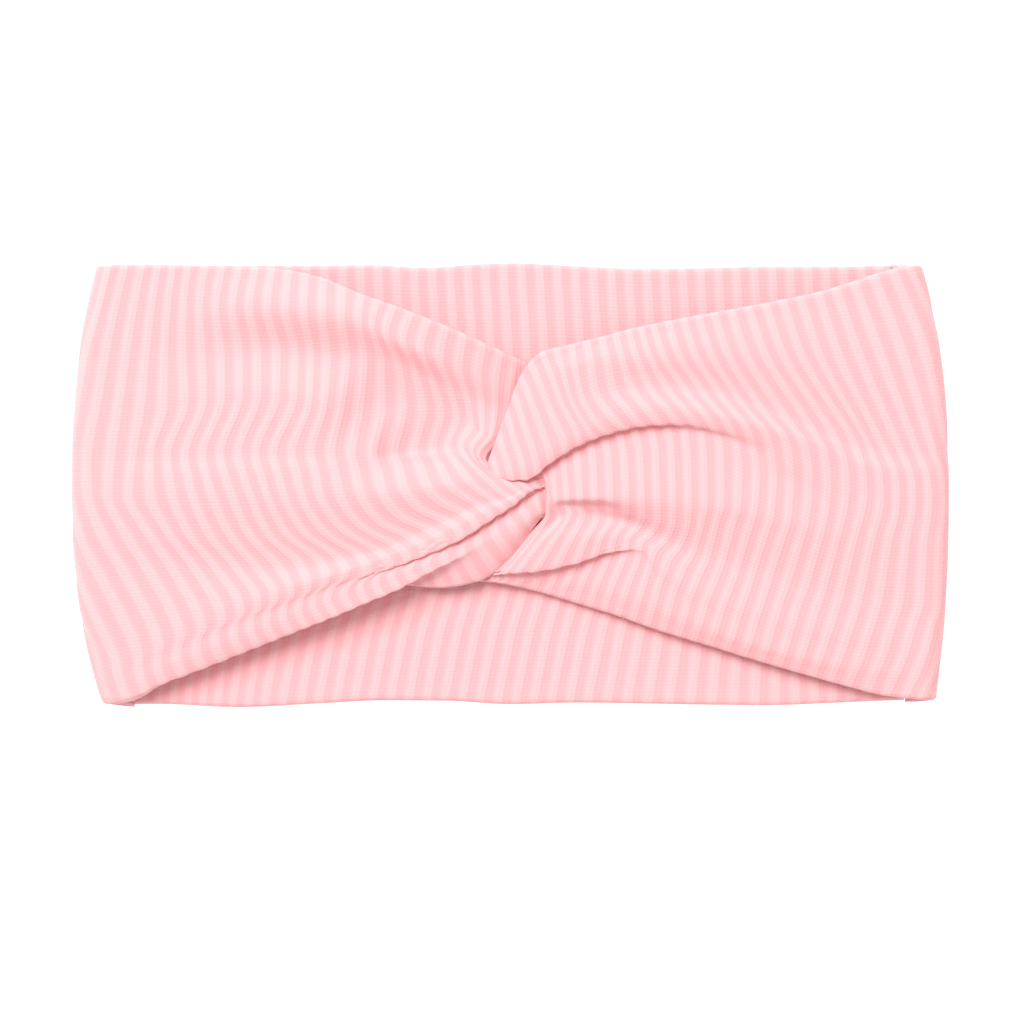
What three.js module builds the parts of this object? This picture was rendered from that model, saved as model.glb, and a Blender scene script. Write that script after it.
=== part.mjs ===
// A wide rib-knit sports headband with a crossed twist at the front, lying flat on its back.
// Millimetres. Seen from the front, +X is right, +Y is up the band and +Z is towards the viewer.
// Left and right in the names are as seen from the front.
// The origin is at the middle of the face that the band lies on.
// Every cloth piece is two plies: a face ply outside and a lining ply towards the head.

import * as THREE from 'three';

// Driving dimensions
const HALF_LENGTH = 115;          // half the flat length of the band, at the middle of its width
const EDGE_TOP = 58;              // height of the band's upper edge above the middle
const EDGE_BOTTOM_LEFT = -58.5;   // its lower edge at the left fold
const EDGE_BOTTOM_RIGHT = -56.5;  // and at the right fold
const PLY = 1.0;                  // thickness of one ply of rib knit
const GAP = 0.5;                  // clearance between two plies
const TURN_RADIUS = 4.85;         // outer radius of the soft fold at each side
const UNDER_RUN = 3;              // length of wing that lies under the band, from side seam to fold
const SEAM_WIDTH = 1.5;           // width of a turned edge seam
const SIDE_SEAM_WIDTH = 4;        // width of the overlocked allowance at a side seam
const SIDE_SEAM_HEIGHT = 1.5;     // its thickness
const TWIST_Y = 2;                // height of the crossing above the middle
const UNDER_SKIN = 6.3;           // top of the wing that passes under at the twist
const OVER_SKIN = 12.4;           // top of the wing that passes over at the twist
const TWIST_START = 30;           // the twist lifts and lowers the wings from here,
const TWIST_END = 8;              // up to here, measured from the middle
const TWIST_SEAM_WIDTH = 3;       // the short seam through the crossed ends
const TWIST_SEAM_LENGTH = 46;
const TWIST_SEAM_RISE = 1;        // its middle above the crossing
const CREST_FADE_START = 80;      // the soft folds of the wings die away from here,
const CREST_FADE_END = 109;       // up to here, measured from the middle

const SIDE_SKIN = 2 * TURN_RADIUS;
const LINING_DEPTH = PLY + GAP;
const WING_DEPTH = LINING_DEPTH + PLY;
const LINING_INSET = SEAM_WIDTH + 2 * GAP;

// Materials
const rib = (color) => new THREE.MeshStandardMaterial({ color, roughness: 0.95, metalness: 0 });
const FACE_KNIT = rib(0xfcd0d2);
const LINING_KNIT = rib(0xf4bcc0);
const THREAD = new THREE.MeshStandardMaterial({ color: 0xf7c9cc, roughness: 0.7, metalness: 0 });

// Each wing. Edges are points (x, y) from the side fold to the twist.
// endLine gives, for a place across the wing (0 upper edge, 1 lower edge), the x where the wing ends.
// The wing lies over at the twist between overLow and overHigh, and under beyond overFade.
const WINGS = {
  left: {
    side: -1,
    cornerPull: { top: 6.5, bottom: 8.5 },
    topEdge: [[-103.6, EDGE_TOP], [-80, EDGE_TOP], [-60, 57], [-48, 54.5], [-28, 46.8], [-12, 40], [4, 33]],
    bottomEdge: [[-101.6, EDGE_BOTTOM_LEFT], [-74, -46], [-51, -37], [-28, -27.5], [-14, -26], [8, -25]],
    endLine: [[0, 4], [0.17, 5], [0.35, 5], [0.44, -6], [0.54, -9.5], [0.575, 8], [0.7, 8.8],
      [0.8, 3], [0.9, -3], [1, -8]],
    over: (y) => 1 - THREE.MathUtils.smoothstep(y, TWIST_Y - 1, TWIST_Y + 6),
    folds: [
      { crest: [[-70, 50], [-34, 46], [-14, 37]], height: 1.5, width: 8 },
      { crest: [[-95, 2], [-50, 3], [-12, -1]], height: 1.8, width: 9 },
      { crest: [[-80, -38], [-40, -24], [-12, -8]], height: 1.2, width: 8 },
    ],
  },
  right: {
    side: 1,
    cornerPull: { top: 7, bottom: 3.5 },
    topEdge: [[-2, 28], [4, 33], [9, 36.2], [18, 38.5], [33, 42], [64, 47.5], [91, 54], [103.2, EDGE_TOP]],
    bottomEdge: [[-8, -25], [10, -29], [25, -33.7], [56, -44], [87, -52.5], [106.6, EDGE_BOTTOM_RIGHT]],
    endLine: [[0, 4.2], [0.09, 1.2], [0.26, -2.5], [0.35, -4.5], [0.47, -6.8], [0.5, 10.5],
      [0.575, 11], [0.66, 10.4], [0.72, -2], [0.82, -8], [1, -3]],
    over: (y) => THREE.MathUtils.smoothstep(y, TWIST_Y - 7, TWIST_Y + 1),
    folds: [
      { crest: [[92, 12], [60, 20], [30, 23], [4, 16]], height: 1.8, width: 9 },
      { crest: [[95, -10], [60, -4], [30, -4]], height: 1.4, width: 8 },
      { crest: [[90, -42], [50, -34], [22, -24]], height: 1.2, width: 8 },
    ],
  },
};

// Steps of the mesh along a wing, and the places of its lines across.
const ALONG_UNDER = 2;
const ALONG_TURN = 7;
const ALONG_TOP = 13;
const ALONG = ALONG_UNDER + ALONG_TURN + ALONG_TOP;
const ACROSS = [0, 0.09, 0.17, 0.26, 0.35, 0.44, 0.47, 0.5, 0.54, 0.575, 0.66, 0.72, 0.82, 0.9, 1];

const lerp = THREE.MathUtils.lerp;

// A function through points given as [where, value], flat beyond its ends.
function through(points, Interpolant) {
  const where = points.map((point) => point[0]);
  const value = points.map((point) => point[1]);
  const interpolant = new Interpolant(where, value, 1);
  return (at) => interpolant.evaluate(at)[0];
}

// Shortest distance from (x, y) to a line of points.
function distanceTo(line, x, y) {
  let nearest = Infinity;
  for (let i = 0; i + 1 < line.length; i += 1) {
    const [ax, ay] = line[i];
    const [bx, by] = line[i + 1];
    const lengthSquared = (bx - ax) ** 2 + (by - ay) ** 2;
    const along = ((x - ax) * (bx - ax) + (y - ay) * (by - ay)) / lengthSquared;
    const clamped = THREE.MathUtils.clamp(along, 0, 1);
    nearest = Math.min(nearest, Math.hypot(x - lerp(ax, bx, clamped), y - lerp(ay, by, clamped)));
  }
  return nearest;
}

// Distance from the middle of the band to its side fold at a place across the band.
function foldReach(pull, across) {
  const fromMiddle = Math.abs(across - 0.5) * 2;
  return HALF_LENGTH - (across < 0.5 ? pull.top : pull.bottom) * fromMiddle ** 2.4;
}

// The outer skin of a wing as a function of its length (0 side seam, 1 twist) and width (0 to 1).
// trim gives how far the piece keeps from the wing's edges and from its end.
function wingSkin(wing, trim) {
  const top = through(wing.topEdge, THREE.CubicInterpolant);
  const bottom = through(wing.bottomEdge, THREE.CubicInterpolant);
  const end = through(wing.endLine, THREE.LinearInterpolant);

  const height = (x, y) => {
    const near = 1 - THREE.MathUtils.smoothstep(wing.side * x, TWIST_END, TWIST_START);
    let z = lerp(SIDE_SKIN, lerp(UNDER_SKIN, OVER_SKIN, wing.over(y)), near);
    const fade = 1 - THREE.MathUtils.smoothstep(wing.side * x, CREST_FADE_START, CREST_FADE_END);
    for (const fold of wing.folds) {
      z += fade * fold.height * Math.exp(-((distanceTo(fold.crest, x, y) / fold.width) ** 2));
    }
    return z;
  };

  return (u, width) => {
    const t = trim.across(width);
    const centre = foldReach(wing.cornerPull, t) - TURN_RADIUS;
    const step = u * ALONG;
    const edgeY = (x) => trim.edge(top(x), bottom(x), width);
    if (step <= ALONG_UNDER) {
      const reach = centre - UNDER_RUN * (1 - step / ALONG_UNDER);
      return new THREE.Vector3(wing.side * reach, edgeY(wing.side * centre), 0);
    }
    if (step <= ALONG_UNDER + ALONG_TURN) {
      const angle = Math.PI * ((step - ALONG_UNDER) / ALONG_TURN);
      const reach = centre + TURN_RADIUS * Math.sin(angle);
      const z = TURN_RADIUS * (1 - Math.cos(angle));
      return new THREE.Vector3(wing.side * reach, edgeY(wing.side * centre), z);
    }
    const along = (step - ALONG_UNDER - ALONG_TURN) / ALONG_TOP;
    const x = lerp(wing.side * centre, end(t) + wing.side * trim.end, along);
    const y = edgeY(x);
    return new THREE.Vector3(x, y, height(x, y));
  };
}

// The skin pushed inwards by a depth, along the cloth's own normal.
function pushedIn(skin, side, depth) {
  const small = 1e-3;
  return (u, t) => {
    const u0 = Math.max(u - small, 0);
    const u1 = Math.min(u + small, 1);
    const t0 = Math.max(t - small, 0);
    const t1 = Math.min(t + small, 1);
    const along = skin(u1, t).sub(skin(u0, t));
    const down = skin(u, t1).sub(skin(u, t0));
    const outward = side < 0 ? down.cross(along) : along.cross(down);
    return skin(u, t).addScaledVector(outward.normalize(), -depth);
  };
}

// A closed sheet between two surfaces that share their grid: columns along, rows across.
function sheet(outer, inner, columns, rows) {
  const across = rows.length;
  const positions = [];
  for (const surface of [outer, inner]) {
    for (const u of columns) {
      for (const t of rows) {
        positions.push(...surface(u, t).toArray());
      }
    }
  }
  const layer = columns.length * across;
  const at = (surface, i, j) => surface * layer + i * across + j;
  const index = [];
  const quad = (a, b, c, d) => index.push(a, b, c, a, c, d);
  for (let i = 0; i + 1 < columns.length; i += 1) {
    for (let j = 0; j + 1 < across; j += 1) {
      quad(at(0, i, j), at(0, i + 1, j), at(0, i + 1, j + 1), at(0, i, j + 1));
      quad(at(1, i, j), at(1, i, j + 1), at(1, i + 1, j + 1), at(1, i + 1, j));
    }
    quad(at(0, i, 0), at(1, i, 0), at(1, i + 1, 0), at(0, i + 1, 0));
    const last = across - 1;
    quad(at(0, i, last), at(0, i + 1, last), at(1, i + 1, last), at(1, i, last));
  }
  for (let j = 0; j + 1 < across; j += 1) {
    quad(at(0, 0, j), at(0, 0, j + 1), at(1, 0, j + 1), at(1, 0, j));
    const last = columns.length - 1;
    quad(at(0, last, j), at(1, last, j), at(1, last, j + 1), at(0, last, j + 1));
  }
  const geometry = new THREE.BufferGeometry();
  geometry.setAttribute('position', new THREE.Float32BufferAttribute(positions, 3));
  geometry.setIndex(outwardFacing(positions, index));
  geometry.computeVertexNormals();
  return geometry;
}

// Turns every triangle round if the body encloses a negative volume.
function outwardFacing(positions, index) {
  const corner = (k) => new THREE.Vector3().fromArray(positions, 3 * k);
  let volume = 0;
  for (let k = 0; k < index.length; k += 3) {
    volume += corner(index[k]).dot(corner(index[k + 1]).cross(corner(index[k + 2])));
  }
  if (volume >= 0) {
    return index;
  }
  const turned = [];
  for (let k = 0; k < index.length; k += 3) {
    turned.push(index[k], index[k + 2], index[k + 1]);
  }
  return turned;
}

const evenly = (count) => Array.from({ length: count + 1 }, (_, i) => i / count);

function wingPly(wing, trim, outerDepth, rows) {
  const skin = wingSkin(wing, trim);
  const outer = pushedIn(skin, wing.side, outerDepth);
  const inner = pushedIn(skin, wing.side, outerDepth + PLY);
  return sheet(outer, inner, evenly(ALONG), rows);
}

function addMesh(group, name, geometry, material) {
  const mesh = new THREE.Mesh(geometry, material);
  mesh.name = name;
  group.add(mesh);
}

// How each piece is trimmed against the cloth's edges: edge gives its y between them at a width t,
// across gives the place across the band that its length follows, end how far it stops short of the twist.
const FACE_TRIM = { end: 0, across: (t) => t, edge: lerp };
const LINING_TRIM = {
  end: LINING_INSET,
  across: (t) => t,
  edge: (top, bottom, t) => lerp(top - LINING_INSET, bottom + LINING_INSET, t),
};
const TOP_SEAM_TRIM = {
  end: LINING_INSET,
  across: () => 0,
  edge: (top, bottom, t) => top - GAP - SEAM_WIDTH * t,
};
const BOTTOM_SEAM_TRIM = {
  end: LINING_INSET,
  across: () => 1,
  edge: (top, bottom, t) => bottom + GAP + SEAM_WIDTH * (1 - t),
};
const SIDE_SEAM_TRIM = {
  across: (t) => t,
  edge: (top, bottom, t) => lerp(top - LINING_INSET - GAP, bottom + LINING_INSET + GAP, t),
};

// The four pieces of a double-ply panel, each made by a function of its trim, depth and rows.
function addPlies(group, name, ply) {
  addMesh(group, `${name}_face`, ply(FACE_TRIM, 0, ACROSS), FACE_KNIT);
  addMesh(group, `${name}_lining`, ply(LINING_TRIM, LINING_DEPTH, ACROSS), LINING_KNIT);
  addMesh(group, `${name}_top_seam`, ply(TOP_SEAM_TRIM, LINING_DEPTH, [0, 1]), THREAD);
  addMesh(group, `${name}_bottom_seam`, ply(BOTTOM_SEAM_TRIM, LINING_DEPTH, [0, 1]), THREAD);
}

// Distance from the middle to a side seam, at a place across the band.
const seamReach = (wing, across) => foldReach(wing.cornerPull, across) - TURN_RADIUS - UNDER_RUN;

// The lower edge of the back panel runs straight from fold to fold.
function backBottom(x) {
  const along = (x + HALF_LENGTH) / (2 * HALF_LENGTH);
  return lerp(EDGE_BOTTOM_LEFT, EDGE_BOTTOM_RIGHT, THREE.MathUtils.clamp(along, 0, 1));
}

function backPly(trim, low, rows) {
  const place = (z) => (u, t) => {
    const left = GAP - seamReach(WINGS.left, trim.across(t));
    const right = seamReach(WINGS.right, trim.across(t)) - GAP;
    const x = lerp(left, right, u);
    return new THREE.Vector3(x, trim.edge(EDGE_TOP, backBottom(x), t), z);
  };
  return sheet(place(low), place(low + PLY), [0, 1], rows);
}

// The overlocked allowance stands on the linings, centred on the side seam.
function sideSeam(wing) {
  const low = WING_DEPTH + GAP;
  const place = (z) => (u, t) => {
    const reach = seamReach(wing, t) + SIDE_SEAM_WIDTH * (u - 0.5);
    const x = wing.side * reach;
    return new THREE.Vector3(x, SIDE_SEAM_TRIM.edge(EDGE_TOP, backBottom(x), t), z);
  };
  return sheet(place(low), place(low + SIDE_SEAM_HEIGHT), [0, 1], ACROSS);
}

// The seam through the crossed ends runs up the band, between the wings that pass under and over.
function twistSeam() {
  const low = UNDER_SKIN + 2 * GAP;
  const high = OVER_SKIN - WING_DEPTH - 2 * GAP;
  const box = new THREE.BoxGeometry(TWIST_SEAM_WIDTH, TWIST_SEAM_LENGTH, high - low);
  const mesh = new THREE.Mesh(box, THREAD);
  mesh.name = 'twist_seam';
  mesh.position.set(0, TWIST_Y + TWIST_SEAM_RISE, (low + high) / 2);
  return mesh;
}

const headband = new THREE.Group();
addPlies(headband, 'back_panel', backPly);
for (const [name, wing] of Object.entries(WINGS)) {
  addPlies(headband, `${name}_wing`, (trim, depth, rows) => wingPly(wing, trim, depth, rows));
  addMesh(headband, `${name}_side_seam`, sideSeam(wing), THREAD);
}
headband.add(twistSeam());

export default headband;
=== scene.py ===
"""A wide rib-knit sports headband with a crossed twist, lying flat on its back.

Lengths in this script are millimetres until a mesh is written, which turns them into metres.
Each wing of the band is a smooth sheet through a few courses of its cloth. A course is a line along
the band, from the side fold to the twist, and each of its points says which rib it lies on.
"""

import math

import bpy
import numpy as np
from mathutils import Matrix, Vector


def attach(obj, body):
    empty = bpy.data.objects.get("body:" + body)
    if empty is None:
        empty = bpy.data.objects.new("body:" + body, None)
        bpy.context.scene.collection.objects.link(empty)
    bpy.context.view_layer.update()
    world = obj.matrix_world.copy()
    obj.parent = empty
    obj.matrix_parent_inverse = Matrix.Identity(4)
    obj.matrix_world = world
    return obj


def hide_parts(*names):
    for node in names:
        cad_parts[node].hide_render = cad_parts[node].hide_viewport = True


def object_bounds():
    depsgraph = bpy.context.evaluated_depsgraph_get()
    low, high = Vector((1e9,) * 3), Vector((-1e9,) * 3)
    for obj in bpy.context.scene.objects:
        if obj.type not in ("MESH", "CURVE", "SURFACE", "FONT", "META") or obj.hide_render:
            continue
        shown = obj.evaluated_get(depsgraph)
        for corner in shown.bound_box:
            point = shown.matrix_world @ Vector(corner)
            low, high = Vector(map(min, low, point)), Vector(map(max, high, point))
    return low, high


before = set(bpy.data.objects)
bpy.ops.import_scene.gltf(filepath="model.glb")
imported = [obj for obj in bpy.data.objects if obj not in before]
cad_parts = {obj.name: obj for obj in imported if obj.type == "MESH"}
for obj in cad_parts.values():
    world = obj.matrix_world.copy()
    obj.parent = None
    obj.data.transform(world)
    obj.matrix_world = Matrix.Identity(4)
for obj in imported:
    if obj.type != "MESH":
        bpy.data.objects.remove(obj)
CAD_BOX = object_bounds()
MM = 0.001

# The cloth
RIB = 4.7  # repeat of the wide rib
RIB_RISE = 0.10  # half the height from recess to raised wale
WALES_PER_RIB = 4  # stitch columns in one repeat
COURSE = 0.95  # height of one stitch
PLY = 1.0  # thickness of one ply
BAND = 2.4  # thickness of both plies
ROLL = BAND / 2  # radius of a turned edge
STITCH = 2.5  # one zig and zag
THREAD_RADIUS = 0.18
EDGE_TURN = 0.47 * math.pi  # how far a long edge turns down, a little short of a quarter turn

# The band's shape, from the frame
HALF_LENGTH = CAD_BOX[1][0] / MM
SIDE_SKIN = 9.7  # height of the outer skin beside the fold
TURN = SIDE_SKIN / 2  # radius of the soft side fold
UNDER_RUN = 3.0  # wing that lies under the band, up to the side seam
SEAM_GAP = 0.3  # between the back panel and the wings


# ---------------------------------------------------------------- curves and grids


def smooth_through(places, values, at):
    """A cubic between each pair of places. Its slope is flat where the values turn, and elsewhere the
    harmonic mean of the slopes on either side, so nothing overshoots."""
    places = np.asarray(places, float)
    values = np.asarray(values, float)
    shape = (-1,) + (1,) * (values.ndim - 1)
    step = np.diff(places).reshape(shape)
    slope = np.diff(values, axis=0) / step
    tangent = np.empty_like(values)
    tangent[0] = slope[0]
    tangent[-1] = slope[-1]
    before, after = slope[:-1], slope[1:]
    same_way = before * after > 0
    total = np.where(same_way, before + after, 1.0)
    tangent[1:-1] = np.where(same_way, 2 * before * after / total, 0.0)
    at = np.clip(np.asarray(at, float), places[0], places[-1])
    k = np.clip(np.searchsorted(places, at, side="right") - 1, 0, len(places) - 2)
    h = step[k]
    t = (at - places[k]).reshape(shape) / h
    start = (1 + 2 * t) * (1 - t) ** 2 * values[k] + t * (1 - t) ** 2 * h * tangent[k]
    end = t * t * (3 - 2 * t) * values[k + 1] + t * t * (t - 1) * h * tangent[k + 1]
    return start + end


def softened(grid, passes):
    """Each point moves halfway towards the mean of its neighbours, along and across, keeping the rim."""
    grid = grid.copy()
    for _ in range(passes):
        grid[1:-1] = 0.5 * grid[1:-1] + 0.25 * (grid[:-2] + grid[2:])
        grid[:, 1:-1] = 0.5 * grid[:, 1:-1] + 0.25 * (grid[:, :-2] + grid[:, 2:])
    return grid


def unit(vectors):
    """Vectors of length one."""
    return vectors / np.maximum(np.linalg.norm(vectors, axis=-1, keepdims=True), 1e-9)


def normals(grid, side=1):
    """Across-tangent crossed with along-tangent, turned so that a flat sheet facing up gives +Z."""
    along = np.gradient(grid, axis=1)
    down = np.gradient(grid, axis=0)
    return unit(np.cross(down, along)) * side


def smoothstep(low, high, value):
    """0 below low, 1 above high, and a cubic S between them."""
    t = np.clip((value - low) / (high - low), 0, 1)
    return t * t * (3 - 2 * t)


def rib_height(rib):
    """The wide rib: a cosine squared off by a hyperbolic tangent, so wale and recess are flat-topped."""
    return RIB_RISE * (np.tanh(2.0 * np.cos(2 * math.pi * rib)) / math.tanh(2.0) - 1)


def write_mesh(name, shells, material, node):
    """One object from shells of (points, faces, cloth): points and cloth coordinates are arrays."""
    points, faces, cloth, base = [], [], [], 0
    for shell_points, shell_faces, shell_cloth in shells:
        points.append(shell_points)
        faces.append(shell_faces + base)
        cloth.append(shell_cloth)
        base += len(shell_points)
    points = np.concatenate(points) * MM
    faces = np.concatenate(faces)
    cloth = np.concatenate(cloth)
    mesh = bpy.data.meshes.new(name)
    mesh.from_pydata(points.tolist(), [], faces.tolist())
    corner = np.empty(len(mesh.loops), int)
    mesh.loops.foreach_get("vertex_index", corner)
    layer = mesh.uv_layers.new(name="cloth")
    layer.data.foreach_set("uv", (cloth[corner] * 0.01).astype(np.float32).ravel())
    mesh.polygons.foreach_set("use_smooth", np.ones(len(faces), bool))
    mesh.materials.append(material)
    mesh.update()
    piece = bpy.data.objects.new(name, mesh)
    bpy.context.scene.collection.objects.link(piece)
    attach(piece, "root")
    if node:
        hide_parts(node)
    return piece


def closed_sheet(outer, inner, cloth):
    """A closed body between two grids of the same size, its rim walled. The cloth coordinates are those
    of the outer grid on both skins."""
    rows, columns = outer.shape[:2]
    index = np.arange(rows * columns).reshape(rows, columns)
    back = index + rows * columns

    def quads(a, b, c, d):
        return np.stack([a.ravel(), b.ravel(), c.ravel(), d.ravel()], axis=1)

    faces = np.concatenate(
        [
            quads(index[:-1, :-1], index[1:, :-1], index[1:, 1:], index[:-1, 1:]),
            quads(back[:-1, :-1], back[:-1, 1:], back[1:, 1:], back[1:, :-1]),
            quads(index[0, :-1], index[0, 1:], back[0, 1:], back[0, :-1]),
            quads(index[-1, 1:], index[-1, :-1], back[-1, :-1], back[-1, 1:]),
            quads(index[1:, 0], index[:-1, 0], back[:-1, 0], back[1:, 0]),
            quads(index[:-1, -1], index[1:, -1], back[1:, -1], back[:-1, -1]),
        ]
    )
    points = np.concatenate([outer.reshape(-1, 3), inner.reshape(-1, 3)])
    corners = points[faces]
    cross = np.cross(corners[:, 1] - corners[:, 0], corners[:, 2] - corners[:, 0])
    cross += np.cross(corners[:, 2] - corners[:, 0], corners[:, 3] - corners[:, 0])
    if np.einsum("ij,ij->", corners.mean(axis=1), cross) < 0:
        faces = faces[:, ::-1]
    flat = cloth.reshape(-1, 2)
    return points, faces, np.concatenate([flat, flat])


# ---------------------------------------------------------------- the wings' courses

PLEAT_LINE = ((-104, -57), (-28, -27))  # the lower-left pleats follow it, from the side fold inwards


def off_pleat_line(points):
    """Turns (rib, along, off, z) into (rib, x, y, z). Along is the distance down the pleat line from the
    side fold, and off is the distance above it."""
    (x, y), inner = PLEAT_LINE
    way_x, way_y = unit(np.subtract(inner, (x, y)))
    return [
        (rib, x + along * way_x - off * way_y, y + along * way_y + off * way_x, z)
        for rib, along, off, z in points
    ]


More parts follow.
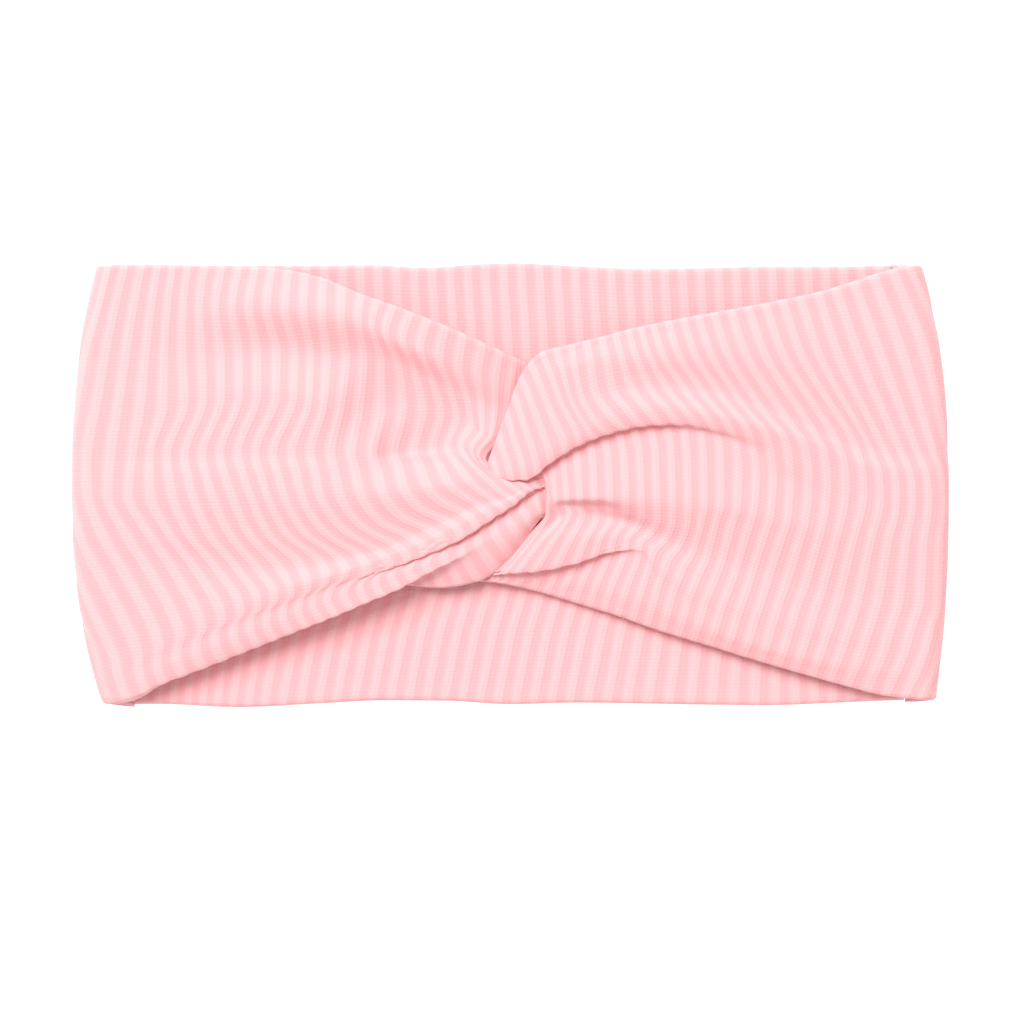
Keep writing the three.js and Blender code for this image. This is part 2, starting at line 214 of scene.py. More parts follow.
# Each course: its height at the side seam, then points (rib, x, y, z) from the side fold to the twist.
# Ribs are counted from the side fold. x runs on past the fold as if the wing were unrolled.
LEFT_COURSES = {
    "upper edge": (57, [
        (-2, -109.8, 56.7, 9.7), (0, -101, 56.7, 9.7), (2, -92.3, 56.7, 9.7), (4, -84.4, 56.6, 9.8),
        (6, -75.6, 56.6, 9.8), (8, -66.8, 56.3, 9.8), (10, -58.2, 55.6, 9.8), (12, -49, 53.6, 9.8),
        (14, -39.2, 49.4, 10.8), (16, -31, 46.4, 11.4), (18, -22, 42.8, 11.6), (20, -12.6, 38.8, 11.2),
        (22, -3, 34.4, 9.8), (24, 4.5, 31, 7.4)]),
    "upper ridge": (46, [
        (-2, -112.6, 46, 9.7), (0, -103.5, 46, 9.8), (2, -93.9, 46.2, 10.0), (4, -85.5, 46.4, 10.2),
        (6, -77, 46.6, 10.9), (8, -68.2, 46.6, 11.7), (10, -58.8, 46.2, 12.3), (12, -49.2, 45, 12.6),
        (14, -39.6, 43, 12.6), (16, -32.6, 40, 12.4), (18, -23.6, 36, 12), (20, -13.6, 31.4, 10.4),
        (22, -4, 26.6, 8.8), (24, 4, 24, 6.2)]),
    "upper valley": (34, [
        (-2, -117, 34, 9.7), (0, -106, 34, 9.8), (2, -95.4, 34, 9.8), (4, -85.7, 34, 9.7),
        (6, -75.8, 34.5, 9.4), (8, -66.2, 35, 9), (10, -56.3, 34.5, 8.9), (12, -48, 33.5, 9),
        (13, -43, 33.2, 9), (14, -38.4, 33, 9.0), (16, -29.3, 31.2, 8.6), (18, -20.4, 27.4, 8.2),
        (20, -11.4, 23, 7.6), (22, -4, 19.6, 7.2), (24, 2, 17, 5.8)]),
    "upper panel": (21, [
        (-2, -119.6, 21, 9.7), (0, -108.3, 21, 9.8), (2, -96.8, 21, 10.1), (4, -85.2, 22, 10.4),
        (6, -75.6, 23, 10.7), (8, -66.1, 24, 11.0), (10, -56.6, 23, 11.2), (12, -48.7, 21.5, 11.6),
        (13, -44.2, 21.2, 10.6), (14, -39.5, 21, 8.4), (15, -34, 20.7, 6.8), (16, -28.3, 20.4, 6.2),
        (18, -18.3, 19, 6.0), (20, -10.4, 16.6, 6.4), (21, -7.4, 14.6, 8.4),
        (22, -5, 13.2, 8.8), (24, 0, 12, 5.8)]),
    "panel foot": (8, [
        (-2, -121.5, 8, 9.7), (0, -110.6, 8, 9.8), (2, -98.8, 8, 10.1), (4, -89.7, 8, 10.4),
        (6, -80.5, 8, 10.7), (8, -71.2, 8.5, 10.9), (10, -62, 8.5, 11.1), (12, -52.2, 8.5, 11.2),
        (14, -41.6, 8.6, 10.8), (15, -36.1, 8.4, 9.8), (16, -30.6, 8.6, 6.0), (17, -25.4, 9.0, 4.6),
        (18, -20.4, 9.4, 4.4), (20, -13.2, 10.4, 6.8), (21, -10.2, 9.2, 8.8),
        (22, -8.2, 7.8, 9.0), (24, -5, 6, 6.4)]),
    "ridge shoulder": (3, [
        (-2, -121.5, 3, 9.7), (0, -110.7, 3, 9.9), (2, -99.4, 3, 10.6), (4, -89.2, 3, 11.1),
        (6, -79.4, 3, 11.6), (8, -69.8, 3.4, 11.9), (10, -60.8, 3.8, 12.0), (12, -51, 4.2, 12.0),
        (14, -40.6, 4.6, 11.3), (16, -29.4, 5.4, 9.6), (18, -18.6, 6.0, 9.2), (20, -9.8, 5.8, 10.4),
        (22, -2.6, 2.6, 9.4), (24, 7.5, 3.0, 8.2)]),
    "middle ridge": (-3, [
        (-2, -121, -2.5, 9.7), (0, -110.3, -2.5, 10.1), (2, -99.8, -2.5, 10.8), (4, -88.2, -2.5, 11.4),
        (6, -77.8, -2.5, 11.9), (8, -67.8, -2.5, 12.2), (10, -59, -2.5, 12.4), (12, -49.6, -2.5, 12.6),
        (14, -39, -2.2, 12.7), (16, -27.4, -1.4, 12.6), (18, -15.8, 0.4, 12.2), (20, -5.6, 1.6, 11.4),
        (22, 2.6, 1.2, 10.4), (24, 9.4, 1.7, 8.2)]),
    "flank": (-13, [
        (-2, -118.4, -13, 9.7), (0, -106.5, -13, 10.0), (2, -94, -13, 10.5), (4, -83.6, -13, 10.8),
        (6, -73, -13, 11.0), (8, -63, -12.8, 11.1), (10, -53.6, -12.4, 11.2), (12, -43.4, -11.6, 11.3),
        (14, -33.6, -9.6, 11.4), (16, -22.8, -6.4, 11.6), (18, -12, -2.8, 11.8), (20, -3.2, -0.8, 11.5),
        (22, 3.6, 0.3, 11.0), (24, 9.5, 0.7, 7.8)]),
    "lower valley": (-24, [
        (-2, -114, -23.5, 9.7), (0, -100.6, -23, 9.8), (2, -87.8, -22.2, 9.9), (4, -76.5, -21.8, 9.9),
        (6, -66, -21.6, 9.9), (8, -54.8, -20.6, 9.9), (10, -44.6, -19, 10.0), (12, -34.8, -16.8, 10.2),
        (14, -26, -13.4, 10.5), (16, -17, -9, 10.9), (18, -8.4, -5, 11.4), (20, -0.6, -2.8, 11.5),
        (22, 4.6, -0.4, 11.2), (24, 9.6, 0.4, 7.8)]),
    "lower ridge": (-40, off_pleat_line([
        (-2, 4.8, 12, 9.7), (0, 17.3, 12, 10.1), (2, 29.5, 12, 10.7), (4, 40.5, 11.6, 11.1),
        (6, 50, 11.2, 11.5), (8, 59, 10.6, 11.8), (10, 69.5, 9.8, 12)]) + [
        (12, -32.4, -18.8, 12.1), (14, -23.2, -15.2, 12.3), (16, -13.8, -11, 12.4), (18, -6, -7, 12.4),
        (20, 0.8, -3.6, 12.2), (22, 5.4, -0.8, 11.6), (24, 9.7, 0.2, 7.8)]),
    "pleat lip": (-44.5, off_pleat_line([
        (-2, 4.6, 9.2, 9.7), (0, 16.7, 9.2, 10), (2, 28.9, 9.2, 10.5), (4, 39.8, 9.2, 10.9),
        (6, 49.2, 9, 11.2), (8, 58.4, 8.6, 11.4), (10, 68, 8, 11.6)]) + [
        (12, -31.2, -21.4, 11.8), (14, -22.2, -18, 12.2), (16, -12.6, -14.1, 12.2), (18, -4.6, -8.9, 12),
        (20, 1.8, -4.8, 11.8), (22, 5.9, -1.5, 11.2), (24, 9.8, -0.2, 7.8)]),
    "pleat root": (-47, off_pleat_line([
        (-2, 4.2, 6.8, 9.7), (0, 15.3, 6.8, 9.8), (2, 26.4, 7, 10.2), (4, 36.9, 7, 10.5),
        (6, 46.2, 7, 10.7), (8, 55.4, 6.9, 10.9), (10, 63.8, 6.8, 11.1)]) + [
        (12, -35, -22.8, 11.3), (14, -26.6, -19.9, 11), (16, -17, -15.4, 10.4), (18, -8.6, -10.6, 9.6),
        (20, -1.6, -5.9, 9.3), (22, 4.6, -1.6, 9), (24, 9.8, -0.4, 7.2)]),
    "strip top": (-50, off_pleat_line([
        (-2, 4, 4.4, 9.7), (0, 14.5, 4.4, 9.8), (2, 25.3, 4.4, 10.2), (4, 36, 4.4, 10.5),
        (6, 45.1, 4.4, 10.7), (8, 54.1, 4.4, 10.9), (10, 62.2, 4.4, 11.1)]) + [
        (12, -39.3, -26.6, 11.3), (14, -31.2, -23.2, 11.6), (16, -22, -20, 11.6), (18, -12.8, -15.8, 10.8),
        (20, -4.4, -10.4, 10.2), (22, 2.6, -5.9, 10), (23, 6.6, -3, 9.8), (24, 10, -1.4, 7.4)]),
    "edge lip": (-55.4, off_pleat_line([
        (-2, 3.9, 0.4, 9.7), (0, 14.4, -0.2, 8.8), (2, 25.6, -0.5, 8.6), (4, 36.4, -0.5, 8.8),
        (6, 45.6, -0.5, 9.2), (8, 54.8, -0.5, 9.8), (10, 63, -0.5, 10.6)]) + [
        (12, -37.2, -30.9, 11.1), (14, -28.8, -27.4, 11.4), (16, -20.4, -22.7, 11.5), (18, -12.4, -18.4, 11),
        (20, -3.6, -13, 10.6), (22, 4.4, -7.8, 10.4), (23, 7.6, -5, 10), (24, 10.2, -4, 7.4)]),
    "edge root": (-56, off_pleat_line([
        (-2, 3.9, 0, 9.6), (0, 14.4, 0.1, 7.8), (2, 25.6, 0.2, 7.2), (4, 36.4, 0.3, 7.4),
        (6, 45.6, 0.4, 7.6), (8, 54.8, 0.4, 8), (10, 63, 0.6, 8.4)]) + [
        (12, -37, -29.4, 8.4), (14, -28.2, -25.7, 8.3), (16, -20, -21.5, 8.8), (18, -12, -18.9, 10),
        (20, -3.2, -14, 10.5), (22, 4.7, -8.6, 10.3), (23, 7.8, -6, 9.9), (24, 10.3, -5, 7.4)]),
    "strip foot": (-56.4, off_pleat_line([
        (-2, 3.9, -0.2, 9.4), (0, 14.4, 0.5, 7.2), (2, 25.6, 0.8, 6.5), (4, 36.4, 0.9, 6.6),
        (6, 45.6, 1, 6.7), (8, 54.8, 1.2, 7), (10, 63, 1.4, 7.3)]) + [
        (12, -36.8, -28.6, 7.3), (14, -27.4, -25.1, 7.2), (16, -19.2, -23.6, 7.8), (18, -10.4, -21.6, 9),
        (20, -1.2, -16.2, 9.8), (22, 5.1, -10, 9.8), (23, 8.2, -7.5, 9.5), (24, 10.4, -6.4, 7.2)]),
    "lower edge": (-56.8, off_pleat_line([
        (-2, 3.9, -0.5, 9.2), (0, 14.4, 0.2, 6.8), (2, 25.6, 0.5, 6), (4, 36.4, 0.6, 6),
        (6, 45.6, 0.7, 6.2), (8, 54.8, 0.9, 6.5), (10, 63, 1.1, 6.8)]) + [
        (12, -36.6, -28.9, 6.9), (14, -26.6, -25.7, 7), (16, -18.2, -25.9, 7.2), (18, -8.4, -24.4, 7.5),
        (20, 0, -18.2, 7.8), (22, 6.1, -10.8, 7.8), (23, 8.7, -8, 7.6), (24, 10.5, -7.2, 6)]),
}


def between(first, second, share, low, high):
    """Points this share of the way from one course to another, at those of their shared ribs that lie
    from low to high."""
    other = {point[0]: point for point in second}
    pairs = [(point, other[point[0]]) for point in first if low <= point[0] <= high]
    return [tuple((1 - share) * a + share * b for a, b in zip(*pair)) for pair in pairs]


PANEL = [
    (-2, 125.4, -15, 9.7), (0, 116.6, -15, 9.8), (2, 107.8, -15, 10.0), (4, 98.7, -14, 10.2),
    (6, 89.8, -13, 10.3), (8, 81.2, -11, 10.6), (10, 72.2, -9, 10.8), (12, 63.4, -6.5, 11),
    (14, 54.8, -5, 11.1), (16, 46.4, -4, 11.2), (18, 38.2, -3.4, 11.3), (20, 30.1, -3.2, 11.3),
    (22, 21.9, -3.2, 11.2), (24, 14.8, -3.4, 10.8), (26, 9.8, -3.6, 9.9), (28, 8.8, -3.5, 7.0),
    (29, 7.4, -3.5, 6)]
DENT = [
    (-2, 126.4, -31, 9.7), (0, 117.2, -31, 9.7), (2, 106.7, -31, 9.3), (4, 95.9, -30, 9),
    (6, 85.9, -28.5, 8.7), (8, 76.8, -26.5, 8.5), (10, 67.4, -24, 8.3), (12, 59, -21.6, 8.1),
    (14, 51.1, -19, 7.9), (16, 43.8, -16, 7.7), (18, 36.4, -12.6, 7.5), (20, 29.6, -9.6, 7.2),
    (22, 22.6, -8.4, 7.2), (24, 15.4, -7.6, 8.8), (25, 12.9, -8.6, 7.8), (26, 10.0, -8, 9.4),
    (28, 8.7, -8.2, 7.2), (29, 8.2, -8.4, 5.4)]
DENT_RIM = [
    (16, 46.2, -9.6, 9.9), (18, 38.3, -8.6, 9.6), (20, 30.1, -6.8, 9.2), (22, 22, -5.2, 8.6),
    (24, 14.9, -5.2, 8.8)]
RIGHT_COURSES = {
    "upper edge": (57, [
        (-2, 109.3, 57, 9.7), (0, 100.2, 55.6, 9.7), (2, 90, 52.4, 9.7), (4, 80.6, 49.6, 9.8),
        (6, 71.3, 47.7, 9.9), (8, 62.4, 46, 10.0), (10, 53.4, 44.4, 10.1), (12, 45.4, 43, 10.2),
        (14, 37.5, 41.5, 10.3), (16, 31, 40.1, 10.6), (18, 24, 38.2, 10.9), (20, 16, 36.2, 11.1),
        (22, 8.6, 34.2, 11.1), (24, 2.9, 28, 10.6), (26, -1.0, 18.6, 9.8), (28, -5.2, 7.6, 9.2),
        (29, -6.6, 3.6, 8.8)]),
    "upper slope": (36, [
        (-2, 120.5, 34, 9.7), (0, 108.6, 34, 9.8), (2, 96.7, 34, 10.2), (4, 85.7, 34, 10.6),
        (6, 75.8, 34.5, 10.9), (8, 66.1, 35, 11.1), (10, 56.5, 35, 11.3), (12, 48.1, 34.5, 11.5),
        (14, 39.9, 34, 11.9), (16, 32.9, 33.5, 12.2), (18, 25.3, 32.4, 12.5), (20, 16.8, 30.8, 12.5),
        (22, 11, 28, 12.2), (24, 5.2, 22.4, 11.8), (26, 0.2, 14.6, 11.3), (28, -4.7, 6.2, 10.2),
        (29, -6.5, 3.3, 9.4)]),
    "long valley": (11, [
        (-2, 123, 11, 9.7), (0, 114.5, 10, 9.7), (2, 106.5, 8.5, 9.5), (4, 97.9, 9, 9.3),
        (6, 90.1, 10.5, 9.2), (8, 78.4, 15.5, 9.3), (10, 65, 21, 9.6), (12, 54.7, 24.2, 10.0),
        (14, 45.4, 25.5, 10.5), (16, 36.4, 25.8, 11.2), (18, 26.8, 25, 12.0), (20, 18.4, 23.4, 12.6),
        (22, 13.6, 21, 12.7), (24, 7.4, 16.4, 12.3), (26, 1.6, 10.2, 11.8), (28, -4, 4.8, 10.7),
        (29, -6.4, 3, 9.7)]),
    "lobe ridge": (4, [
        (-2, 125.2, 4, 9.7), (0, 116.8, 3.6, 9.8), (2, 108.4, 3.6, 10.1), (4, 100.2, 3.8, 10.4),
        (6, 91.6, 5.6, 10.8), (8, 81.4, 10.4, 11.4), (10, 70.6, 14, 12.2), (12, 60.4, 16.8, 12.8),
        (14, 50.4, 19, 12.9), (16, 40.8, 20, 13.1), (18, 31.2, 19, 13.2), (20, 22.4, 16.4, 13.2),
        (22, 17.4, 13.8, 13), (24, 10, 9.4, 12.6), (26, 3.3, 4.8, 12.2), (28, -3.5, 2.9, 11.0),
        (29, -6.3, 2.7, 10.0)]),
    "lobe lip": (0, [
        (-2, 125.6, 0, 9.7), (0, 117.2, 0, 9.8), (2, 109, 0, 10.1), (4, 100.6, 0.6, 10.4),
        (6, 92, 2.6, 10.7), (8, 82.2, 5.8, 11.1), (10, 72.2, 9.8, 11.6), (12, 62.4, 12.8, 11.9),
        (14, 53, 14.8, 11.9), (16, 44, 15.8, 11.8), (18, 34.5, 15.2, 11.7), (20, 26, 13.2, 11.7),
        (22, 18.6, 10.4, 11.6), (24, 11, 5.9, 11.5), (26, 4.1, 1.1, 11.3), (28, -3.1, 1.4, 10.6),
        (29, -6.3, 2.3, 9.8)]),
    "tuck root": (-3, [
        (-2, 125.7, -3, 9.7), (0, 117.4, -3, 9.8), (2, 109.2, -3, 10.1), (4, 100.8, -3, 10.4),
        (6, 92.2, -1, 10.6), (8, 82.6, 1.6, 10.9), (10, 72.8, 5.8, 11.2), (12, 63.2, 9.8, 10.6),
        (14, 54, 13, 10.2), (16, 45, 15.4, 9.8), (18, 35.6, 16.4, 9.4), (20, 27.2, 15.6, 9.2),
        (22, 20, 13, 9), (24, 13, 9.6, 8.8), (26, 6.5, 5.2, 8.0), (28, 0, 3.5, 7.8),
        (29, -3, 3.4, 7.6)]),
    "panel top": (-7, [
        (-2, 125.7, -7, 9.7), (0, 117.4, -7, 9.8), (2, 109, -7, 10.1), (4, 100.5, -7, 10.4),
        (6, 91.8, -5, 10.6), (8, 82.4, -3, 10.6), (10, 73, 0.6, 10.5), (12, 64.2, 4, 10.4),
        (14, 54.8, 7.2, 10.3), (16, 46.1, 8.7, 10.2), (18, 37.8, 9.2, 10.2), (20, 29.6, 8.2, 10.2),
        (22, 21.6, 6, 10.2), (24, 14.2, 2.8, 10.1), (26, 9.4, 0.9, 9.6), (28, 8.6, 1.2, 7.0),
        (29, 7.4, 1.2, 6)]),
    "panel": (-15, PANEL),
    "dent rim": (-20, between(PANEL, DENT, 0.3, -2, 14) + DENT_RIM + between(PANEL, DENT, 0.5, 26, 29)),
    "dent": (-31, DENT),
    "lower lobe": (-36.5, [
        (-2, 125, -37, 9.7), (0, 115.2, -36.5, 9.7), (2, 105, -36, 9.2), (4, 94.6, -34.6, 9),
        (6, 84.6, -33, 8.7), (8, 75, -31, 8.5), (10, 66, -28.6, 8.4), (12, 57.4, -26.2, 8.3),
        (14, 49.2, -23, 8.2), (16, 41.4, -18.8, 8.2), (18, 34, -14.6, 8.4), (20, 27.2, -13.2, 9.0),
        (22, 20, -13.4, 10.0), (24, 12, -13.4, 10.2), (26, 6.4, -13.2, 9.0), (28, 4.5, -13, 7.2),
        (29, 4.2, -12.6, 5.2)]),
    "lower lip": (-42, [
        (-2, 123.6, -42, 9.7), (0, 113.6, -41.6, 9.8), (2, 103.6, -41, 9.2), (4, 92.8, -40, 9),
        (6, 82.8, -38.4, 8.8), (8, 73.4, -36.2, 8.7), (10, 64.4, -33.4, 8.6), (12, 55.6, -30.6, 8.6),
        (14, 47.4, -27.2, 8.6), (16, 39.8, -22.8, 8.6), (18, 33.6, -16.6, 8.6), (20, 26, -17.6, 8.7),
        (22, 17, -20.7, 8.8), (24, 6, -22.9, 8.8), (26, -1.8, -23.3, 8.2), (28, -4.6, -23.6, 6.8),
        (29, -6.2, -23.6, 5.6)]),
    "lower root": (-44.5, [
        (-2, 123, -44.5, 9.7), (0, 112.8, -44, 9.8), (2, 102.9, -43.5, 9.1), (4, 92, -42.4, 8.8),
        (6, 82, -40.8, 8.6), (8, 72.7, -38.6, 8.5), (10, 63.6, -35.8, 8.4), (12, 54.8, -32.8, 8.4),
        (14, 46.6, -29, 8.3), (16, 39.2, -24.2, 8.2), (18, 33.6, -17.8, 7.8), (20, 26.6, -16.4, 7.2),
        (22, 17.6, -18.8, 6.8), (24, 7, -21.4, 6.6), (26, -1.4, -22.6, 6.6), (28, -4.6, -22.8, 6.0),
        (29, -6, -22.6, 5.4)]),
    "lower panel": (-50, [
        (-2, 120.8, -50, 9.7), (0, 110.8, -49.6, 9.4), (2, 100.7, -48.8, 8.8), (4, 90.1, -47.4, 8.5),
        (6, 80.4, -45.5, 8.4), (8, 71.3, -43.3, 8.3), (10, 62.2, -40.6, 8.2), (12, 53.4, -37.6, 8.1),
        (14, 45.2, -34.4, 7.9), (16, 37.3, -30.8, 7.7), (18, 30, -27.6, 7.4), (20, 22.6, -25.8, 6.6),
        (22, 14.8, -25.2, 6.3), (24, 7, -25, 5.9), (26, -1, -24.6, 6.2), (28, -4.6, -24, 5.8),
        (29, -6.2, -23.6, 5.2)]),
    "lower edge": (-55.5, [
        (-2, 117.4, -55.2, 9.7), (0, 107.8, -54.8, 9.0), (2, 98.4, -54, 7.6), (4, 88.2, -51.7, 6.8),
        (6, 79, -49.3, 6.4), (8, 70, -46.8, 6.2), (10, 60.8, -44.1, 6), (12, 52, -41.3, 5.9),
        (14, 43.8, -38.8, 5.8), (16, 35.8, -36.1, 5.6), (18, 28.2, -33.3, 5.4), (20, 20.8, -31, 5.0),
        (22, 13.2, -28.7, 5.0), (24, 6, -26.7, 5.2), (26, -2, -25.2, 6.0), (28, -5.6, -24.6, 5.6),
        (29, -7, -24.2, 5.2)]),
}

# The back panel's long edges, as (x, y).
BACK_UPPER_EDGE = [
    (-110, 56.8), (-60, 56.8), (-37, 56.9), (-22, 56.2), (-10, 57), (0, 57.4), (17, 56.7), (34, 55.9),
    (50, 56.1), (67, 56.5), (84, 56.5), (101, 56.8), (112, 56.8)]
BACK_LOWER_EDGE = [
    (-110, -56.4), (-92, -56.1), (-72, -56.9), (-50, -55.9), (-33, -55.1), (-17, -55.2), (0, -56.1),
    (17, -55.7), (50, -56.2), (67, -56.4), (84, -55.8), (101, -55.1), (112, -54.9)]

# How far each side fold draws in, at its upper and its lower end.
CORNER_PULL = {-1: (6.5, 8.5), 1: (7.0, 3.5)}
COURSE_STEPS = 150  # rows of the dense grid, across the band
RIB_STEP = 0.125  # its columns, in ribs
SEAM_RIB = -4.0  # where the side seam is, in ribs from the side fold


def fold_reach(side, y):
    """From the middle of the band to the side fold: full at mid-height, drawn in at the corners."""
    top, bottom = CORNER_PULL[side]
    out = np.abs(y + 0.2) / 58
    return HALF_LENGTH - np.where(y > 0, top, bottom) * np.minimum(out, 1.05) ** 2.4


def wrap_round_fold(side, x, y, z):
    """Cloth past the middle of the fold lies on a half-circle, then flat under the band."""
    centre = fold_reach(side, y) - TURN
    past = side * x - centre
    angle = np.clip(past / TURN, 0, math.pi)
    after = np.maximum(past - math.pi * TURN, 0)
    swell = z - SIDE_SKIN
    out = centre + np.minimum(past, 0) + (TURN + swell) * np.sin(angle) - after
    height = TURN + (TURN + swell) * np.cos(angle)
    return np.stack([side * out, y, height], axis=-1)


def wing_skin(side, courses):
    """The dense grid of a wing's outer skin, and the rib that each of its points lies on."""
    last = max(point[0] for _, line in courses.values() for point in line)
    ribs = np.arange(SEAM_RIB, last + 0.01, RIB_STEP)
    lines = []
    for y_side, line in courses.values():
        past = math.pi * TURN + UNDER_RUN
        seam_x = side * (fold_reach(side, np.float64(y_side)) - TURN + past)
        points = np.array([(SEAM_RIB, seam_x, y_side, SIDE_SKIN)] + line)
        lines.append(smooth_through(points[:, 0], points[:, 1:], ribs))
    lines = np.array(lines)
    gaps = np.linalg.norm(np.diff(lines, axis=0), axis=-1).mean(axis=1)
    places = np.concatenate([[0], np.cumsum(gaps)])
    grid = smooth_through(places, lines, np.linspace(0, places[-1], COURSE_STEPS))
    grid = softened(grid, 2)
    grid = wrap_round_fold(side, grid[..., 0], grid[..., 1], grid[..., 2])
    return grid, np.broadcast_to(ribs, grid.shape[:2]).copy()


def with_turned_edges(grid, facing, steps=5):
    """Adds rows that carry each long edge a quarter turn down, to the seam half-way through the band."""
    angles = np.linspace(0, EDGE_TURN, steps)[1:]
    parts = [grid]
    for edge, inside in ((0, 1), (-1, -2)):
        normal = facing[edge]
        outward = unit(grid[edge] - grid[inside])
        outward = unit(outward - normal * np.sum(outward * normal, axis=-1, keepdims=True))
        rows = np.array(
            [grid[edge] + ROLL * (outward * math.sin(a) - normal * (1 - math.cos(a))) for a in angles]
        )
        parts = [rows[::-1]] + parts if edge == 0 else parts + [rows]
    return np.concatenate(parts)


def cloth_lengths(grid):
    """How far along its rib each point lies, from the middle row."""
    step = np.linalg.norm(np.diff(grid, axis=0), axis=-1)
    total = np.concatenate([np.zeros((1, grid.shape[1])), np.cumsum(step, axis=0)])
    return total - total[grid.shape[0] // 2]


def with_even_ribs_past_fold(ribs, grid):
    """Outside the first course points the ribs keep their repeat, however they slant round the fold."""
    column = int(np.argmin(np.abs(ribs[0] + 2)))
    step = np.linalg.norm(np.diff(grid[:, : column + 1], axis=1), axis=-1) / RIB
    beyond = np.concatenate([np.cumsum(step[:, ::-1], axis=1)[:, ::-1], np.zeros((len(grid), 1))], axis=1)
    places = ribs.copy()
    places[:, : column + 1] = places[:, column : column + 1] - beyond
    return places


def ply(grid, ribs, sign):
    """One ply below its outer skin: ribbed outside and plain inside. The ribs flatten where it turns."""
    whole = with_turned_edges(grid, normals(grid, sign))
    turned = (len(whole) - len(grid)) // 2
    rows = np.clip(np.arange(len(whole)) - turned, 0, len(grid) - 1)
    places = ribs[rows]
    facing = normals(whole, sign)
    relief = 0.15 + 0.85 * smoothstep(0, 4, np.minimum(rows, len(grid) - 1 - rows))
    outer = whole + facing * (rib_height(places) * relief[:, None])[..., None]
    inner = whole - facing * PLY
    cloth = np.stack([places * RIB, cloth_lengths(whole)], axis=-1)
    return closed_sheet(outer, inner, cloth)


def tube(path, half_width, half_height, sides, reference):
    """A rod of oval section along a path. Its width lies square to the reference direction."""
    along = unit(np.gradient(path, axis=0))
    across = unit(np.cross(along, np.broadcast_to(np.asarray(reference, float), along.shape)))
    up = np.cross(across, along)
    angles = np.arange(sides) * 2 * math.pi / sides
    rings = (
        path[:, None]
        + half_width * across[:, None] * np.cos(angles)[None, :, None]
        + half_height * up[:, None] * np.sin(angles)[None, :, None]
    )
    index = np.arange(len(path) * sides).reshape(len(path), sides)
    after = np.roll(index, -1, axis=1)
    wall = np.stack([index[:-1], after[:-1], after[1:], index[1:]], axis=-1).reshape(-1, 4)
    half = np.arange(1, sides - 2, 2)
    start = np.stack([0 * half, half + 2, half + 1, half], axis=-1)
    end = len(path) * sides - sides + np.stack([0 * half, half, half + 1, half + 2], axis=-1)
    cloth = np.stack(np.broadcast_arrays(np.arange(len(path))[:, None], angles[None]), axis=-1)
    return rings.reshape(-1, 3), np.concatenate([wall, start, end]), cloth.reshape(-1, 2).astype(float)


# ---------------------------------------------------------------- materials


def linear(hex_colour):
    """An sRGB hex colour as linear red, green, blue and full alpha."""
    channels = [int(hex_colour[i : i + 2], 16) / 255 for i in (1, 3, 5)]
    return [c / 12.92 if c <= 0.04045 else ((c + 0.055) / 1.055) ** 2.4 for c in channels] + [1.0]


def add_node(tree, kind, settings=None, links=None):
    """One node, its properties and socket values set, and its inputs linked."""
    node = tree.nodes.new(kind)
    for key, value in (settings or {}).items():
        if isinstance(key, str) and hasattr(node, key) and key not in node.inputs:
            setattr(node, key, value)
        else:
            node.inputs[key].default_value = value
    for key, socket in (links or {}).items():
        tree.links.new(socket, node.inputs[key])
    return node


def rib_jersey(name, raised, recess):
    """Wide-rib cotton and elastane jersey, piece-dyed. Its rib colour is painted light: the raised colour is
    a painted highlight on the wales, and the recess colour is painted shade, the deeper pink that light
    bouncing between the recess walls gives. Every wale is a ladder of small loops."""
    material = bpy.data.materials.new(name)
    material.use_nodes = True
    tree = material.node_tree
    tree.nodes.clear()
    coordinate = add_node(tree, "ShaderNodeUVMap", {"uv_map": "cloth"})
    split = add_node(tree, "ShaderNodeSeparateXYZ", links={0: coordinate.outputs[0]})
    turn = 2 * math.pi * 100

    def math_node(operation, first, second=None, value=None):
        links = {0: first}
        settings = {"operation": operation}
        if second is not None:
            links[1] = second
        if value is not None:
            settings[1] = value
        return add_node(tree, "ShaderNodeMath", settings, links).outputs[0]

    # Painted rib shade and highlight: the rib phase mixes the recess colour (painted shade) with the raised
    # colour (painted highlight).
    rib = math_node("COSINE", math_node("MULTIPLY", split.outputs[0], value=turn / RIB))
    rib_shade_mix = add_node(
        tree, "ShaderNodeMapRange",
        {"interpolation_type": "SMOOTHSTEP", "From Min": -0.75, "From Max": 0.75}, {"Value": rib})
    wale = math_node("COSINE", math_node("MULTIPLY", split.outputs[0], value=turn * WALES_PER_RIB / RIB))
    course = math_node("COSINE", math_node("MULTIPLY", split.outputs[1], value=turn / COURSE))
    loops = math_node("MULTIPLY", math_node("ADD", wale, value=1.0), math_node("ADD", course, value=1.6))
    fuzz = add_node(tree, "ShaderNodeTexNoise", {"Scale": 900.0, "Detail": 3.0, "Roughness": 0.6},
                    {"Vector": coordinate.outputs[0]})
    colour = add_node(
        tree, "ShaderNodeMix",
        {"data_type": "RGBA"}, {"Factor": rib_shade_mix.outputs[0]})
    colour.inputs["A"].default_value = linear(recess)
    colour.inputs["B"].default_value = linear(raised)
    height = math_node("ADD", math_node("MULTIPLY", loops, value=0.25), fuzz.outputs[0])
    bump = add_node(tree, "ShaderNodeBump", {"Strength": 0.35, "Distance": 0.00022}, {"Height": height})
    shader = add_node(
        tree, "ShaderNodeBsdfPrincipled",
        {"Roughness": 0.92, "Specular IOR Level": 0.25, "Sheen Weight": 0.25, "Sheen Roughness": 0.5},
        {"Normal": bump.outputs[0]})
    tree.links.new(colour.outputs["Result"], shader.inputs["Base Color"])
    add_node(tree, "ShaderNodeOutputMaterial", links={0: shader.outputs[0]})
    return material


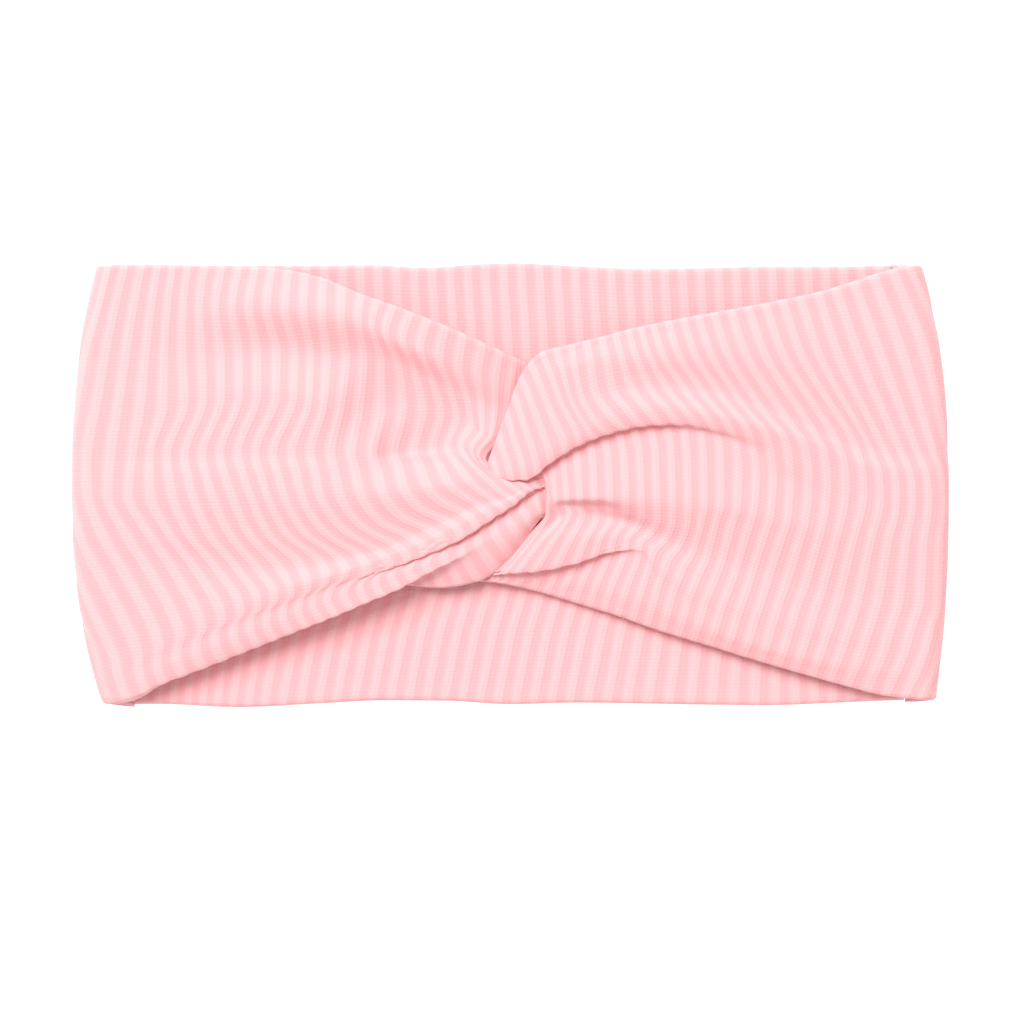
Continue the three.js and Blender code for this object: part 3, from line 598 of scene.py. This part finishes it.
def spun_thread(name, tone):
    """Spun polyester sewing thread: a slight sheen and a fine twist along its length."""
    material = bpy.data.materials.new(name)
    material.use_nodes = True
    tree = material.node_tree
    tree.nodes.clear()
    coordinate = add_node(tree, "ShaderNodeTexCoord")
    twist = add_node(tree, "ShaderNodeTexNoise", {"Scale": 2500.0}, {"Vector": coordinate.outputs["Object"]})
    bump = add_node(
        tree, "ShaderNodeBump", {"Strength": 0.3, "Distance": 0.0001}, {"Height": twist.outputs[0]})
    shader = add_node(
        tree, "ShaderNodeBsdfPrincipled",
        {"Base Color": linear(tone), "Roughness": 0.6, "Sheen Weight": 0.1},
        {"Normal": bump.outputs[0]})
    add_node(tree, "ShaderNodeOutputMaterial", links={0: shader.outputs[0]})
    return material


# For each knit, the raised colour is a painted highlight on the wales and the recess colour is painted shade
# in the rib recesses.
FACE_KNIT = rib_jersey("pink rib jersey, face", "#FDC9CB", "#FDBCBF")
LINING_KNIT = rib_jersey("pink rib jersey, lining", "#FDC9CB", "#FDBCBF")
THREAD = spun_thread("pink spun thread", "#F8C6CA")

# ---------------------------------------------------------------- the pieces


STITCH_START = 0.6  # bare cloth at each end of a line of stitches
STITCH_NEAR, STITCH_FAR = 0.1, 1.3  # how far a zig and a zag lie inside the edge
WRAP_PITCH = 1.25  # overlock thread, from one turn to the next
WRAP_POINTS = 14  # points in one turn of it
WRAP_INSET = 0.3  # how far the seam allowances lie inside the thread round them


def edge_seam(name, grid, facing, edge, inside, node):
    """Zig-zag stitching between the plies, just inside a long edge."""
    normal = facing[edge]
    outward = unit(grid[edge] - grid[inside])
    length = np.concatenate([[0], np.cumsum(np.linalg.norm(np.diff(grid[edge], axis=0), axis=-1))])
    points = np.arange(STITCH_START, length[-1] - STITCH_START, STITCH / 2)
    swing = np.where(np.arange(len(points)) % 2 == 0, STITCH_NEAR, STITCH_FAR)
    line = grid[edge] - normal * ROLL
    path = np.stack([np.interp(points, length, line[:, k]) for k in range(3)], axis=-1)
    side = np.stack([np.interp(points, length, outward[:, k]) for k in range(3)], axis=-1)
    shell = tube(path - side * swing[:, None], THREAD_RADIUS, THREAD_RADIUS, 6, (0, 0, 1))
    seam = write_mesh(name, [shell], THREAD, node)


def overlocked_ridge(name, path, half_width, half_height, node):
    """Seam allowances bound together: an oval core with thread wound round it."""
    length = np.concatenate([[0], np.cumsum(np.linalg.norm(np.diff(path, axis=0), axis=-1))])
    turns = length[-1] / WRAP_PITCH
    angle = np.linspace(0, 2 * math.pi * turns, int(turns * WRAP_POINTS))
    at = angle / angle[-1] * length[-1]
    wound = np.stack([np.interp(at, length, path[:, k]) for k in range(3)], axis=-1)
    wound[:, 0] += (half_width - THREAD_RADIUS) * np.cos(angle)
    wound[:, 2] += (half_height - THREAD_RADIUS) * np.sin(angle)
    core = tube(path, half_width - WRAP_INSET, half_height - WRAP_INSET, 16, (0, 0, 1))
    wrap = tube(wound, THREAD_RADIUS, THREAD_RADIUS, 6, (0, 1, 0))
    seam = write_mesh(name, [core, wrap], THREAD, node)


def build_wing(side, name, courses):
    """Both plies of a wing and the stitching in its edges."""
    grid, ribs = wing_skin(side, courses)
    ribs = with_even_ribs_past_fold(ribs, grid)
    facing = normals(grid, -side)
    face = write_mesh(f"{name}_wing_rib_face", [ply(grid, ribs, -side)], FACE_KNIT, f"{name}_wing_face")
    under = softened(grid - facing * BAND, 4)[::2, ::2]
    lining = write_mesh(
        f"{name}_wing_rib_lining", [ply(under, ribs[::2, ::2], side)], LINING_KNIT, f"{name}_wing_lining")
    edge_seam(f"{name}_wing_top_stitches", grid, facing, 0, 1, f"{name}_wing_top_seam")
    edge_seam(f"{name}_wing_bottom_stitches", grid, facing, -1, -2, f"{name}_wing_bottom_seam")


def back_edge(edge, x):
    """The back panel's long edges lie a little unevenly."""
    points = np.array(edge, float)
    return smooth_through(points[:, 0], points[:, 1], x.ravel()).reshape(x.shape)


def back_reach(side, y):
    """From the middle to where the back panel meets a wing."""
    return fold_reach(side, y) - TURN - UNDER_RUN


def build_back():
    """The back panel lies on the table, so its face looks down and its lining looks up. The lining is flat
    but for a ripple, a product of two sines. Its ribs lean near the upper edge and towards the lower left."""
    across = np.linspace(-1, 1, 381)
    down = np.linspace(0, 1, 100)[:, None]
    y_top, y_bottom = 56.9, -56.2
    y_even = y_top - (y_top - y_bottom) * down
    left = back_reach(-1, y_even) - SEAM_GAP
    right = back_reach(1, y_even) - SEAM_GAP
    x = np.where(across < 0, across * left, across * right)
    y = back_edge(BACK_UPPER_EDGE, x) * (1 - down) + back_edge(BACK_LOWER_EDGE, x) * down
    ripple_height = 0.10
    ripple = ripple_height * np.sin(x / 11 + 0.4) * np.sin(y / 19 + 1)
    lean = -0.05 * (y - 20) * smoothstep(10, 57, y)
    lean += 0.2 * (y + 16) * smoothstep(-12, -40, y) * smoothstep(85, 15, x) * smoothstep(-115, -60, x)
    ribs = (x - lean) / RIB
    top = np.stack([x, y, BAND + ripple], axis=-1)
    base = np.stack([x, y, 0 * x], axis=-1)
    face = write_mesh("back_rib_face", [ply(base, ribs, -1)], FACE_KNIT, "back_panel_face")
    lining = write_mesh("back_rib_lining", [ply(top, ribs, 1)], LINING_KNIT, "back_panel_lining")
    facing = normals(top, 1)
    edge_seam("back_top_stitches", top, facing, 0, 1, "back_panel_top_seam")
    edge_seam("back_bottom_stitches", top, facing, -1, -2, "back_panel_bottom_seam")


def build_ridges():
    """The two side seams, inside the band, and the short seam that joins the wings in the twist."""
    side_half_height = 0.75
    for side, name in ((-1, "left"), (1, "right")):
        y = np.linspace(54.5, -53.5, 40)
        x = side * back_reach(side, y)
        path = np.stack([x, y, 0 * y + BAND + side_half_height], axis=-1)
        overlocked_ridge(f"{name}_side_overlock", path, 2.0, side_half_height, f"{name}_side_seam")
    y = np.linspace(20, -13, 20)
    path = np.stack([0 * y + 2.5, y, 0 * y + 7.4], axis=-1)
    overlocked_ridge("twist_overlock", path, 1.5, 0.8, "twist_seam")


build_wing(-1, "left", LEFT_COURSES)
build_wing(1, "right", RIGHT_COURSES)
build_back()
build_ridges()


# ---------------------------------------------------------------- floor, light and camera


def build_floor():
    """A pale table that reads as white."""
    mesh = bpy.data.meshes.new("table")
    reach = 3.0
    corners = [(-reach, -reach, 0), (reach, -reach, 0), (reach, reach, 0), (-reach, reach, 0)]
    mesh.from_pydata(corners, [], [(0, 1, 2, 3)])
    material = bpy.data.materials.new("lit white acrylic")
    material.use_nodes = True
    shader = material.node_tree.nodes["Principled BSDF"]
    shader.inputs["Base Color"].default_value = (0.5, 0.5, 0.5, 1)
    shader.inputs["Roughness"].default_value = 0.8
    shader.inputs["Emission Color"].default_value = (1, 1, 1, 1)
    shader.inputs["Emission Strength"].default_value = 0.9
    mesh.materials.append(material)
    floor = bpy.data.objects.new("table", mesh)
    bpy.context.scene.collection.objects.link(floor)


def build_light():
    """An even surround of faintly rosy light, and one large soft box beyond the band's upper edge."""
    world = bpy.data.worlds.new("studio")
    world.use_nodes = True
    world.node_tree.nodes["Background"].inputs[0].default_value = (1, 0.86, 0.865, 1)
    world.node_tree.nodes["Background"].inputs[1].default_value = 0.64
    bpy.context.scene.world = world
    light = bpy.data.lights.new("soft box", "AREA")
    light.shape = "DISK"
    light.size = 1.7
    light.energy = 54
    lamp = bpy.data.objects.new("soft box", light)
    lamp.location = (-0.6, 1.24, 2.0)
    lamp.rotation_euler = (-lamp.location).to_track_quat("-Z", "Y").to_euler()
    bpy.context.scene.collection.objects.link(lamp)


def build_camera():
    """Straight above the band, long lens."""
    camera = bpy.data.cameras.new("camera")
    camera.sensor_width = 36
    height = 1.5
    band_height = 0.008
    width_in_view = 0.2677
    camera.lens = camera.sensor_width * (height - band_height) / width_in_view
    camera.clip_start = 0.1
    camera.clip_end = 20
    holder = bpy.data.objects.new("camera", camera)
    holder.location = (0.0005, -0.0068, height)
    bpy.context.scene.collection.objects.link(holder)
    bpy.context.scene.camera = holder


build_floor()
build_light()
build_camera()
bpy.context.scene.view_settings.view_transform = "Standard"
